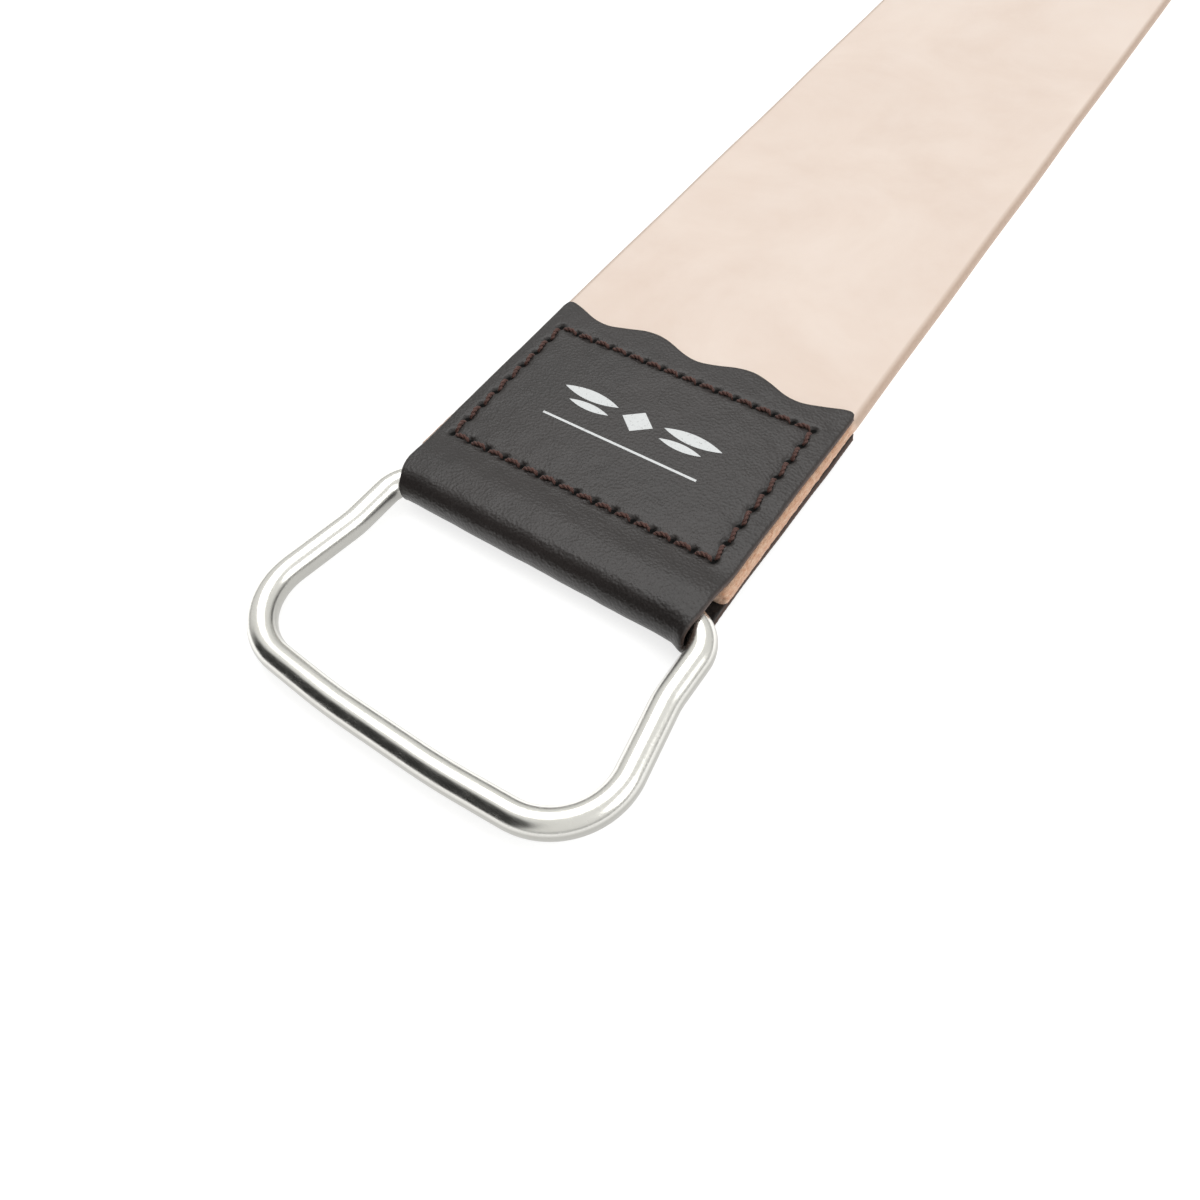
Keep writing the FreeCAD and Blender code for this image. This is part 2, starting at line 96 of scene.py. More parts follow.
HANDLE_BAR = joint_place("handle_swing")
HANGING_BAR = joint_place("ring_swing")
EYE_PLACE = joint_place("eye_swing")

HANDLE_LOW, HANDLE_HIGH = box_mm("wire_handle")
WIRE_RADIUS = (HANDLE_HIGH[2] - HANDLE_LOW[2]) / 2

# ---------------------------------------------------------------- sizes of the sewn tab

BAR_SETBACK = 8.4
LEAF_THICK = 1.2
OUTER_FLAT = STRAP_THICK / 2 + LEAF_THICK
HANDLE_ROW = HANDLE_BAR[1] + BAR_SETBACK
HANGING_ROW = HANGING_BAR[1] - BAR_SETBACK
TAB_END_HALF = (TAB_HIGH[0] - TAB_LOW[0]) / 2
TAB_FOLD_HALF = 28.6
BACK_LEAF_SHIFT = 0.6
STRAP_HALF_IN_TABS = 29.9
NOSE_REACH = HANDLE_ROW - TAB_LOW[1]
LOOP_RISE = 7.0
TAB_LENGTH = 36.4
SCALLOP_LENGTH = 19.4
SCALLOP_HEIGHT = 1.2
STITCHES_ACROSS = 14
STITCHES_ALONG = 8
STITCH_HALF = 25.2
STITCH_LENGTH = 30.5
TAB_CORNER = 1.3
SEAM_DEPTH = 0.16
SEAM_WIDTH = 0.75
HOLE_DEPTH = 0.75
HOLE_HALF_LONG = 0.66
HOLE_HALF_SHORT = 0.44
RISE_LENGTH = 6.0
NOSE_START = 8.0
NOSE_LENGTH = 5.0
FLARE_START = 25.5
FLARE_WIDTH = 2.6
FLARE_REACH = 0.8
STITCH_FOOT = 0.80
STITCH_RISE = 0.97
STITCH_SLANT = 0.30
STITCH_PULL_IN = 0.14
THREAD_STRAND = 0.23
THREAD_TWIST_RADIUS = 0.16
# The handle lies a little to one side and at the end of its play in the loop.
HANDLE_PLAY = (1.5, -0.5, 0.0)
PRINT_MIDDLE = 14.6
SPRING_WIRE = 0.25
SPRING_TURNS = 8


# ---------------------------------------------------------------- mesh helpers


def smooth_step(value):
    value = np.clip(value, 0.0, 1.0)
    return value * value * (3 - 2 * value)


def new_piece(name, vertices, faces, body, material, replaces=None):
    """A smooth-shaded mesh object from millimetre coordinates, riding on a body."""
    mesh = bpy.data.meshes.new(name)
    mesh.from_pydata((np.asarray(vertices) * MM).tolist(), [], faces)
    mesh.polygons.foreach_set("use_smooth", [True] * len(mesh.polygons))
    mesh.validate()
    mesh.update()
    piece = bpy.data.objects.new(name, mesh)
    bpy.context.scene.collection.objects.link(piece)
    piece.data.materials.append(material)
    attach(piece, body)
    if replaces:
        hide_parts(replaces)
    return piece


def ring_faces(ring_count, ring_size, closed=False):
    """Quads between rings of points that follow each other; closed joins the last to the first."""
    faces = []
    for ring in range(ring_count if closed else ring_count - 1):
        here = ring * ring_size
        there = ((ring + 1) % ring_count) * ring_size
        for point in range(ring_size):
            after = (point + 1) % ring_size
            faces.append((here + point, here + after, there + after, there + point))
    return faces


def tube(path, radius, sides, closed):
    """Vertices and faces of a round tube along a path of points."""
    path = np.asarray(path, float)
    count = len(path)
    if closed:
        tangents = np.roll(path, -1, 0) - np.roll(path, 1, 0)
    else:
        tangents = np.gradient(path, axis=0)
    tangents /= np.linalg.norm(tangents, axis=1)[:, None]
    up = np.array([0.0, 0.0, 1.0]) if abs(tangents[0][2]) < 0.9 else np.array([1.0, 0.0, 0.0])
    radii = np.broadcast_to(np.asarray(radius, float), (count,))
    angles = np.linspace(0, 2 * math.pi, sides, endpoint=False)
    rings = []
    side = np.cross(tangents[0], up)
    for index in range(count):
        side = side - tangents[index] * side.dot(tangents[index])
        side /= np.linalg.norm(side)
        lift = np.cross(side, tangents[index])
        offsets = np.outer(np.cos(angles), side) + np.outer(np.sin(angles), lift)
        rings.append(path[index] + offsets * radii[index])
    vertices = np.concatenate(rings)
    faces = ring_faces(count, sides, closed=closed)
    if not closed:
        faces.append(tuple(range(sides))[::-1])
        faces.append(tuple(range((count - 1) * sides, count * sides)))
    return vertices, faces


def joined(parts):
    """One list of vertices and faces from several."""
    vertices, faces, start = [], [], 0
    for part_vertices, part_faces in parts:
        vertices.append(part_vertices)
        faces += [tuple(start + index for index in face) for face in part_faces]
        start += len(part_vertices)
    return np.concatenate(vertices), faces


def soft_waves(x, y, scale, seed):
    """A smooth, repeatable unevenness between about -1 and 1."""
    draw = np.random.default_rng(seed)
    total = np.zeros(np.broadcast(x, y).shape)
    for _ in range(7):
        direction = draw.uniform(0, 2 * math.pi)
        length = scale * draw.uniform(0.6, 1.8)
        phase = draw.uniform(0, 2 * math.pi)
        total += np.sin((x * math.cos(direction) + y * math.sin(direction)) * 2 * math.pi / length + phase)
    return total / 4


# ---------------------------------------------------------------- materials


class Paint:
    """A material's node tree, with short names for the nodes that the materials here share."""

    def __init__(self, name):
        self.material = bpy.data.materials.new(name)
        self.material.use_nodes = True
        self.tree = self.material.node_tree
        self.shader = self.tree.nodes["Principled BSDF"]
        self.place = self.node("ShaderNodeTexCoord").outputs["Object"]

    def node(self, kind, **settings):
        node = self.tree.nodes.new(kind)
        for key, value in settings.items():
            setattr(node, key, value)
        return node

    def link(self, source, target):
        self.tree.links.new(source, target)

    def set(self, **values):
        for key, value in values.items():
            self.shader.inputs[key.replace("_", " ")].default_value = value

    def stretched(self, scale):
        mapping = self.node("ShaderNodeMapping")
        mapping.inputs["Scale"].default_value = scale
        self.link(self.place, mapping.inputs["Vector"])
        return mapping.outputs["Vector"]

    def noise(self, size_mm, detail=3.0, roughness=0.55, place=None, distortion=0.0):
        noise = self.node("ShaderNodeTexNoise")
        noise.inputs["Scale"].default_value = 1 / (size_mm * MM)
        noise.inputs["Detail"].default_value = detail
        noise.inputs["Roughness"].default_value = roughness
        noise.inputs["Distortion"].default_value = distortion
        self.link(place or self.place, noise.inputs["Vector"])
        return noise.outputs["Fac"]

    def cells(self, size_mm, feature="F1"):
        cells = self.node("ShaderNodeTexVoronoi", feature=feature)
        cells.inputs["Scale"].default_value = 1 / (size_mm * MM)
        self.link(self.place, cells.inputs["Vector"])
        return cells.outputs["Distance"]

    def spread(self, source, low, high, to_low=0.0, to_high=1.0):
        spread = self.node("ShaderNodeMapRange")
        for name, value in zip(("From Min", "From Max", "To Min", "To Max"), (low, high, to_low, to_high)):
            spread.inputs[name].default_value = value
        self.link(source, spread.inputs["Value"])
        return spread.outputs["Result"]

    def math(self, operation, first, second):
        node = self.node("ShaderNodeMath", operation=operation)
        for slot, value in zip(node.inputs, (first, second)):
            if isinstance(value, (int, float)):
                slot.default_value = value
            else:
                self.link(value, slot)
        return node.outputs[0]

    def mix(self, factor, first, second):
        node = self.node("ShaderNodeMix", data_type="RGBA")
        for slot, value in ((node.inputs[0], factor), (node.inputs[6], first), (node.inputs[7], second)):
            if isinstance(value, (int, float)):
                slot.default_value = value
            elif isinstance(value, tuple):
                slot.default_value = (*value, 1.0)
            else:
                self.link(value, slot)
        return node.outputs[2]

    def attribute(self, name):
        return self.node("ShaderNodeAttribute", attribute_name=name).outputs["Fac"]

    def bump(self, height, depth_mm, strength=1.0, after=None):
        bump = self.node("ShaderNodeBump")
        bump.inputs["Strength"].default_value = strength
        bump.inputs["Distance"].default_value = depth_mm * MM
        self.link(height, bump.inputs["Height"])
        if after is not None:
            self.link(after, bump.inputs["Normal"])
        return bump.outputs["Normal"]

    def finish(self, colour=None, roughness=None, normal=None):
        for source, name in ((colour, "Base Color"), (roughness, "Roughness"), (normal, "Normal")):
            if source is not None:
                self.link(source, self.shader.inputs[name])
        return self.material


def dark_leather():
    """Dark brown, fine-grained tab leather, satin, with paler cut edges and painted shade in the needle
    holes.
    """
    paint = Paint("dark_tab_leather")
    paint.set(Specular_IOR_Level=0.5, Sheen_Weight=0.08, Sheen_Roughness=0.4)
    pebbles = paint.cells(0.44, "SMOOTH_F1")
    fine = paint.noise(0.25, detail=4.0, roughness=0.65)
    creases = paint.noise(1.1, detail=4.0, roughness=0.6, place=paint.stretched((0.45, 1.7, 1.0)))
    broad = paint.noise(14.0, detail=3.0)
    tone = paint.mix(paint.spread(broad, 0.3, 0.7), (0.014, 0.0115, 0.011), (0.024, 0.019, 0.018))
    tone = paint.mix(paint.spread(fine, 0.35, 0.75, 0.0, 0.6), tone, (0.034, 0.028, 0.027))
    cut = paint.attribute("cut_edge")
    tone = paint.mix(paint.math("MULTIPLY", cut, 0.9), tone, (0.085, 0.048, 0.036))
    # Painted shade: the needle holes are darkened to near black.
    hole = paint.spread(paint.attribute("needle_hole_shade"), 0.15, 0.45)
    tone = paint.mix(hole, tone, (0.001, 0.001, 0.001))
    rough = paint.spread(fine, 0.3, 0.8, 0.31, 0.47)
    rough = paint.math("MAXIMUM", rough, paint.math("MULTIPLY", cut, 0.8))
    rough = paint.math("MAXIMUM", rough, hole)
    normal = paint.bump(pebbles, 0.085, 0.9)
    normal = paint.bump(creases, 0.035, 0.5, normal)
    normal = paint.bump(fine, 0.03, 0.7, normal)
    return paint.finish(tone, rough, normal)


def pale_leather():
    """Natural vegetable-tanned strap: cloudy cream-pink, browner burnished edges greyed with painted shade,
    raw in the tabs.
    """
    paint = Paint("pale_strap_leather")
    paint.set(Specular_IOR_Level=0.32, Sheen_Weight=0.12, Sheen_Roughness=0.5)
    clouds = paint.noise(34.0, detail=5.0, roughness=0.6, distortion=0.6)
    drifts = paint.noise(11.0, detail=4.0, roughness=0.6)
    grain = paint.noise(0.5, detail=6.0, roughness=0.7)
    fibres = paint.noise(0.45, detail=5.0, roughness=0.75, place=paint.stretched((1.0, 0.35, 1.0)))
    pores = paint.cells(0.8)
    tone = paint.mix(paint.spread(clouds, 0.35, 0.68), (0.93, 0.79, 0.70), (0.86, 0.705, 0.61))
    tone = paint.mix(paint.spread(drifts, 0.4, 0.75, 0.0, 0.35), tone, (0.95, 0.83, 0.755))
    tone = paint.mix(paint.spread(pores, 0.0, 0.14, 0.10, 0.0), tone, (0.62, 0.42, 0.30))
    # The rounded edges outside the tabs are burnished brown, and their colour is made greyer as painted
    # shade of the edge's shaded side.
    edge = paint.attribute("burnished_and_shade")
    burnish_and_shade_tone = paint.mix(fibres, (0.44, 0.31, 0.235), (0.62, 0.47, 0.375))
    tone = paint.mix(edge, tone, burnish_and_shade_tone)
    raw = paint.mix(paint.spread(fibres, 0.35, 0.65), (0.62, 0.30, 0.17), (0.86, 0.60, 0.43))
    tone = paint.mix(paint.attribute("raw_edge"), tone, raw)
    rough = paint.spread(grain, 0.3, 0.7, 0.50, 0.66)
    normal = paint.bump(grain, 0.02, 0.5)
    normal = paint.bump(paint.math("MULTIPLY", fibres, paint.attribute("raw_edge")), 0.5, 0.9, normal)
    return paint.finish(tone, rough, normal)


def nickel(name, tone_low, tone_high, rough_low, rough_high, ripple_mm, flank_shade=0.0):
    """Bright nickel plate with faint waves, hairline rubbing and small nicks.

    The last argument is how much painted shade darkens the plate's sides and underside, towards grey.
    """
    paint = Paint(name)
    paint.set(Metallic=1.0)
    waves = paint.noise(6.0, detail=2.0)
    hairs = paint.noise(0.35, detail=3.0, place=paint.stretched((0.15, 1.0, 1.0)))
    nicks = paint.cells(2.6)
    tone = paint.mix(waves, tone_low, tone_high)
    tone = paint.mix(paint.spread(nicks, 0.0, 0.045, 0.55, 0.0), tone, (0.10, 0.09, 0.08))
    # Painted shade: the sides and underside of the plate, found from its object-space normal, are mixed
    # towards grey.
    facing = paint.node("ShaderNodeSeparateXYZ")
    paint.link(paint.node("ShaderNodeTexCoord").outputs["Normal"], facing.inputs[0])
    painted_flank_shade = paint.spread(facing.outputs["Z"], 0.34, 0.66, flank_shade, 0.0)
    tone = paint.mix(painted_flank_shade, tone, (0.27, 0.265, 0.245))
    rough = paint.spread(hairs, 0.35, 0.75, rough_low, rough_high)
    normal = paint.bump(waves, ripple_mm, 0.5)
    normal = paint.bump(paint.spread(nicks, 0.0, 0.06), 0.02, 0.3, normal)
    return paint.finish(tone, rough, normal)


def waxed_thread():
    """Dark red-brown thread with fine fibres."""
    paint = Paint("waxed_thread")
    paint.set(Specular_IOR_Level=0.35, Sheen_Weight=0.2, Sheen_Roughness=0.4)
    fibres = paint.noise(0.16, detail=3.0, roughness=0.7)
    tone = paint.mix(paint.spread(fibres, 0.3, 0.7), (0.036, 0.014, 0.012), (0.165, 0.078, 0.062))
    rough = paint.spread(fibres, 0.3, 0.7, 0.45, 0.7)
    return paint.finish(tone, rough, paint.bump(fibres, 0.05, 0.8))


def printed_white():
    """Off-white print that has sunk into the grain and rubbed thin in specks."""
    paint = Paint("printed_white")
    paint.set(Specular_IOR_Level=0.4)
    specks = paint.noise(0.35, detail=4.0, roughness=0.7)
    pits = paint.cells(0.62, "SMOOTH_F1")
    tone = paint.mix(paint.spread(specks, 0.60, 0.72), (0.80, 0.82, 0.83), (0.16, 0.14, 0.14))
    rough = paint.spread(specks, 0.3, 0.7, 0.45, 0.65)
    return paint.finish(tone, rough, paint.bump(pits, 0.05, 0.7))


def white_floor():
    """The studio sweep: white, lit a little from within so that shadows stay light."""
    paint = Paint("studio_floor")
    grain = paint.noise(60.0, detail=2.0)
    tone = paint.mix(grain, (0.50, 0.50, 0.50), (0.52, 0.52, 0.52))
    paint.set(Roughness=0.9, Emission_Color=(1.0, 1.0, 1.0, 1.0), Emission_Strength=0.74)
    return paint.finish(tone)


DARK_LEATHER = dark_leather()
PALE_LEATHER = pale_leather()
# The wire plate gets painted shade on its sides and underside.
WIRE_NICKEL = nickel("wire_nickel", (0.88, 0.865, 0.82), (0.95, 0.94, 0.905), 0.20, 0.29, 0.02, flank_shade=0.75)
CAST_NICKEL = nickel("cast_nickel", (0.78, 0.76, 0.71), (0.87, 0.85, 0.81), 0.18, 0.30, 0.06)
BOLT_STEEL = nickel("bolt_steel", (0.60, 0.60, 0.59), (0.70, 0.69, 0.68), 0.20, 0.34, 0.04)
SPRING_STEEL = nickel("spring_steel", (0.48, 0.48, 0.50), (0.60, 0.60, 0.61), 0.20, 0.32, 0.02)
THREAD = waxed_thread()
PRINT = printed_white()


# ---------------------------------------------------------------- strap


def make_strap():
    """The pale strap: one rounded section swept along Y, with burnished edges given painted shade outside
    the tabs, raw inside.
    """
    across, edge_points, radius = 60, 10, 1.45
    half, half_thick = STRAP_HALF, STRAP_THICK / 2
    flat = np.linspace(-(half - radius), half - radius, across)
    angles = np.linspace(math.pi / 2, 0, edge_points)[1:]
    corner_x = half - radius + radius * np.cos(angles)
    corner_z = half_thick - radius + radius * np.sin(angles)
    top_x = np.concatenate([flat, corner_x])
    top_z = np.concatenate([np.full(across, half_thick), corner_z])
    right = np.stack([top_x, top_z], 1)[across - 1:]
    profile = [(x, half_thick) for x in flat] + [tuple(p) for p in right[1:]]
    profile += [(x, -z) for x, z in reversed(right[1:])] + [(x, -half_thick) for x in flat[::-1]]
    profile += [(-x, -z) for x, z in right[1:]] + [(-x, z) for x, z in reversed(right[1:])]
    profile = np.array(profile)
    low, high = STRAP_LOW[1], STRAP_HIGH[1]
    tab_inner_low = HANDLE_ROW + TAB_LENGTH
    tab_inner_high = HANGING_ROW - TAB_LENGTH
    rows = np.concatenate(
        [
            [low + 0.02, low + 0.15, low + 0.4],
            np.arange(low + 0.8, tab_inner_low + 6, 0.8),
            np.arange(tab_inner_low + 8, tab_inner_high - 8, 2.0),
            np.arange(tab_inner_high - 6, high - 0.8, 0.8),
            [high - 0.4, high - 0.15, high - 0.02],
        ]
    )
    size = len(profile)
    sideness = np.clip((np.abs(profile[:, 0]) - (half - radius)) / radius, 0, 1)
    vertices, burnished_and_shade, raw = [], [], []
    for y in rows:
        inside = 1 - smooth_step((min(y - low, high - y) - (TAB_LENGTH + 2.2)) / 2.5)
        end = min(y - low, high - y)
        shrink = 0.35 * (1 - min(end / 0.4, 1.0)) ** 2 + (half - STRAP_HALF_IN_TABS) * inside
        x = profile[:, 0] * (1 - shrink / half)
        z = profile[:, 1]
        drift = 0.10 * soft_waves(np.full(size, 3.0), np.full(size, y), 60.0, 5)
        fuzz = 0.10 * inside * sideness * soft_waves(profile[:, 1] * 2, np.full(size, y), 1.6, 8)
        x = x + np.sign(x) * fuzz + drift * (1 - inside)
        z = z + 0.035 * soft_waves(x, np.full(size, y), 26.0, 11) * (1 - inside) * (1 - sideness)
        vertices.append(np.stack([x, np.full(size, y), MIDDLE_Z + z], 1))
        # The burnished edge mask also carries the painted shade on the rounded edges.
        burnished_and_shade.append(np.clip(sideness * 1.5, 0, 1) * (1 - inside))
        raw.append(np.where(sideness > 0, 1.0, 0.0) * inside)
    faces = ring_faces(len(rows), size)
    last = (len(rows) - 1) * size
    for first, flip in ((0, False), (last, True)):
        top = list(range(first, first + size // 2 + 1))
        rest = [first + (size - index) % size for index in range(size // 2)]
        for index in range(size // 2 - 1):
            quad = (rest[index], rest[index + 1], top[index + 1], top[index])
            if len(set(quad)) < 4:
                quad = tuple(dict.fromkeys(quad))
            faces.append(quad[::-1] if flip else quad)
    piece = new_piece(
        "strap", np.concatenate(vertices), faces, "strop", PALE_LEATHER, "strop_leather"
    )
    for name, values in (("burnished_and_shade", burnished_and_shade), ("raw_edge", raw)):
        layer = piece.data.attributes.new(name, "FLOAT", "POINT")
        layer.data.foreach_set("value", np.concatenate(values).astype(np.float32))
    return piece


# ---------------------------------------------------------------- tabs


def scallop(x):
    """How far the wavy cut end reaches from the stitch row at the fold, with rounded corners."""
    wave = TAB_LENGTH - SCALLOP_HEIGHT * np.cos(2 * math.pi * x / SCALLOP_LENGTH)
    corner = np.clip(np.abs(x) - (TAB_END_HALF - TAB_CORNER), 0, TAB_CORNER) / TAB_CORNER
    return wave - TAB_CORNER * (1 - np.sqrt(np.clip(1 - corner**2, 0, 1)))


def needle_holes():
    """The holes of one seam, in order round the rectangle, in the tab's frame."""
    pitch_x = 2 * STITCH_HALF / STITCHES_ACROSS
    pitch_y = STITCH_LENGTH / STITCHES_ALONG
    lower = [(-STITCH_HALF + pitch_x * n, 0.0) for n in range(STITCHES_ACROSS)]
    right = [(STITCH_HALF, pitch_y * n) for n in range(STITCHES_ALONG)]
    upper = [(STITCH_HALF - pitch_x * n, STITCH_LENGTH) for n in range(STITCHES_ACROSS)]
    left = [(-STITCH_HALF, STITCH_LENGTH - pitch_y * n) for n in range(STITCHES_ALONG)]
    return np.array(lower + right + upper + left)


def seam_dent(x, y):
    """How deep the seam and its holes press into a leaf, and how much of a point is hole."""
    outside_x = np.abs(np.abs(x) - STITCH_HALF)
    outside_y = np.minimum(np.abs(y), np.abs(y - STITCH_LENGTH))
    on_sides = np.where((y > -0.6) & (y < STITCH_LENGTH + 0.6), outside_x, 9.0)
    on_ends = np.where(np.abs(x) < STITCH_HALF + 0.6, outside_y, 9.0)
    seam = SEAM_DEPTH * np.exp(-((np.minimum(on_sides, on_ends) / SEAM_WIDTH) ** 2))
    hole = np.zeros_like(x)
    for hole_x, hole_y in needle_holes():
        near = (np.abs(x - hole_x) < 1.6) & (np.abs(y - hole_y) < 1.6)
        slant_a = (x - hole_x + y - hole_y) * math.sqrt(0.5)
        slant_b = (x - hole_x - (y - hole_y)) * math.sqrt(0.5)
        pit = np.exp(-((slant_a / HOLE_HALF_LONG) ** 2) - (slant_b / HOLE_HALF_SHORT) ** 2)
        hole = np.where(near, np.maximum(hole, pit), hole)
    return seam + HOLE_DEPTH * hole, hole


def tab_rows():
    """The outer face of the strip from cut end to cut end: (share of the leaf's length, y, z, leaf).

    leaf is 1 on the front and -1 on the back.
    """
    rows = []
    shares = np.concatenate([[0.0, 0.004], np.linspace(0.012, 1.0, 122)])
    for share in shares:
        rows.append((1 - share, 0.0, OUTER_FLAT, 1))
    for along in np.linspace(0, 1, 22)[1:]:
        rows.append((0.0, -LOOP_RISE * along, OUTER_FLAT + (LOOP_HALF - OUTER_FLAT) * smooth_step(along), 1))
    nose_centre = LOOP_HALF - NOSE_REACH
    for y in np.linspace(-LOOP_RISE, nose_centre, 7)[1:]:
        rows.append((0.0, y, LOOP_HALF, 1))
    for angle in np.linspace(0, math.pi / 2, 15)[1:]:
        rows.append((0.0, nose_centre - LOOP_HALF * math.sin(angle), LOOP_HALF * math.cos(angle), 1))
    return rows + [(share, y, -z, -1) for share, y, z, _ in reversed(rows[:-1])]


def make_tab(name, node, row_y, turned, seed, shift, nose_left, nose_right):
    """The dark strip folded round its wire, as one closed mesh with pressed seams.

    shift is how far it was sewn on off the middle, and the two nose values are its half widths there.
    """
    columns = np.linspace(-1, 1, 193)
    rows = tab_rows()
    outer, flat_y = [], []
    for share, y, z, leaf in rows:
        rise = smooth_step(-y / RISE_LENGTH)
        nose = smooth_step((-y - NOSE_START) / NOSE_LENGTH)
        nose_half = np.where(columns > 0, nose_right, nose_left)
        fold_half = TAB_FOLD_HALF + (nose_half - TAB_FOLD_HALF) * (0.35 * rise + 0.65 * nose)
        half = fold_half + (TAB_END_HALF - TAB_FOLD_HALF) * share
        x = columns * half
        reach = scallop(x * TAB_END_HALF / half) * share
        back = smooth_step(-z / OUTER_FLAT) * (1 - nose)
        edge_drift = 0.12 * soft_waves(columns * 0 + leaf * 9, columns * 0 + y + share * 40, 17.0, seed)
        x = x + BACK_LEAF_SHIFT * back * (x > 0) * smooth_step((np.abs(columns) - 0.9) / 0.1)
        x = x + edge_drift * smooth_step((np.abs(columns) - 0.8) / 0.2)
        flare = smooth_step((np.abs(x) - FLARE_START) / FLARE_WIDTH)
        point_y = reach + y - FLARE_REACH * flare * nose
        outer.append(np.stack([x + shift, point_y, np.full_like(x, z)], 1))
        flat_y.append(reach + y)
    outer = np.array(outer)
    along = np.gradient(outer, axis=0)
    along[:, :, 0] = 0
    along /= np.linalg.norm(along, axis=2)[:, :, None]
    normals = np.stack([np.zeros(along.shape[:2]), along[:, :, 2], -along[:, :, 1]], 2)
    inner = outer - normals * LEAF_THICK
    x, y = outer[:, :, 0], np.array(flat_y)
    depth, hole = seam_dent(x, y)
    shares = np.array([row[0] for row in rows])[:, None]
    on_leaf = smooth_step((y + 3) / 2)
    uneven = 0.045 * soft_waves(x, y, 9.0, seed + 1) + 0.03 * soft_waves(x, y, 3.5, seed + 2)
    # The press that printed the ornament left its place flat.
    printed = smooth_step((20.5 - np.abs(x)) / 2) * smooth_step((8.0 - np.abs(y - PRINT_MIDDLE)) / 2)
    uneven = uneven * (1 - printed)
    swell = 0.10 * smooth_step((28.4 - np.abs(x)) / 3) * smooth_step((y + 2) / 4) * (1 - shares**6)
    outer = outer - normals * (depth * on_leaf - uneven - swell + 0.05)[:, :, None]
    # The cut ends and the long edges are broken slightly.
    for index, pull in ((0, 0.22), (1, 0.05), (-1, 0.22), (-2, 0.05)):
        outer[index] -= normals[index] * pull
        inner[index] += normals[index] * pull
    for column, pull in ((0, 0.16), (-1, 0.16)):
        outer[:, column] -= normals[:, column] * pull
        inner[:, column] += normals[:, column] * pull

    size = 2 * len(columns) + 2
    vertices, cut, holes = [], [], []
    for row in range(len(rows)):
        bulge = 0.10 + 0.05 * math.sin(row * 1.9 + seed)
        right = (outer[row, -1] + inner[row, -1]) / 2 + [bulge, 0, 0]
        left = (outer[row, 0] + inner[row, 0]) / 2 - [bulge, 0, 0]
        vertices.append(np.concatenate([outer[row], [right], inner[row, ::-1], [left]]))
        edge_cut = np.zeros(size)
        edge_cut[[0, len(columns) - 1]] = 0.35
        edge_cut[[len(columns), len(columns) + 1, size - 2, size - 1]] = 1.0
        if row in (0, len(rows) - 1):
            edge_cut[:] = 1.0
        cut.append(edge_cut)
        # The hole mask is kept for the painted shade in the needle holes.
        hole_row = np.zeros(size)
        hole_row[: len(columns)] = hole[row] * on_leaf[row]
        holes.append(hole_row)
    faces = ring_faces(len(rows), size)
    for first, flip in ((0, True), ((len(rows) - 1) * size, False)):
        for column in range(len(columns) - 1):
            quad = (
                first + column,
                first + column + 1,
                first + 2 * len(columns) - column - 1,
                first + 2 * len(columns) - column,
            )
            faces.append(quad if flip else quad[::-1])
        right = (first + len(columns) - 1, first + len(columns), first + len(columns) + 1)
        left = (first + 2 * len(columns), first + size - 1, first)
        faces += [right if flip else right[::-1], left if flip else left[::-1]]
    faces = [face[::-1] for face in faces]
    points = placed(np.concatenate(vertices), row_y, turned)
    piece = new_piece(name, points, faces, "strop", DARK_LEATHER, node)
    for label, values in (("cut_edge", cut), ("needle_hole_shade", holes)):
        layer = piece.data.attributes.new(label, "FLOAT", "POINT")
        layer.data.foreach_set("value", np.clip(np.concatenate(values), 0, 1).astype(np.float32))
    return piece


def placed(points, row_y, turned):
    """Moves points from a tab's frame to the row frame, turned half round for the hanging end."""
    points = np.array(points, float)
    if turned:
        points[:, :2] *= -1
    points[:, 1] += row_y
    points[:, 2] += MIDDLE_Z
    return points


# ---------------------------------------------------------------- thread


def stitch(start, end, side, draw):
    """One stitch: two strands twisted round each other, up out of one hole and down into the next."""
    span = np.linspace(0, 1, 19)
    run = np.array([end[0] - start[0], end[1] - start[1]])
    length = np.linalg.norm(run)
    across = np.array([-run[1], run[0]]) / length
    slant = STITCH_SLANT + draw.uniform(-0.06, 0.06)
    lateral = slant * (span - 0.5) * 2 * (1 - np.abs(2 * span - 1) ** 6)
    height = OUTER_FLAT - STITCH_FOOT + STITCH_RISE * np.clip(np.sin(math.pi * span), 0, 1) ** 0.45
    travel = STITCH_PULL_IN + span * (1 - 2 * STITCH_PULL_IN)
    flat = np.array(start) + np.outer(travel, run) + np.outer(lateral, across)
    middle = np.column_stack([flat, side * height])
    turns = draw.uniform(1.7, 2.0)
    phase = draw.uniform(0, math.pi)
    strands = []
    for strand in (0, math.pi):
        angle = 2 * math.pi * turns * span * side + phase + strand
        offset = THREAD_TWIST_RADIUS * np.column_stack([np.outer(np.cos(angle), across), np.sin(angle)])
        strands.append(tube(middle + offset, THREAD_STRAND, 8, closed=False))
    return strands


def make_seam(name, node, row_y, turned, side, seed):
    """All the stitches on one side of a tab."""
    draw = np.random.default_rng(seed)
    holes = needle_holes()
    parts = []
    for start, end in zip(holes, np.roll(holes, -1, 0)):
        parts += stitch(start, end, side, draw)
    vertices, faces = joined(parts)
    return new_piece(name, placed(vertices, row_y, turned), faces, "strop", THREAD, node)


# ---------------------------------------------------------------- wire rings


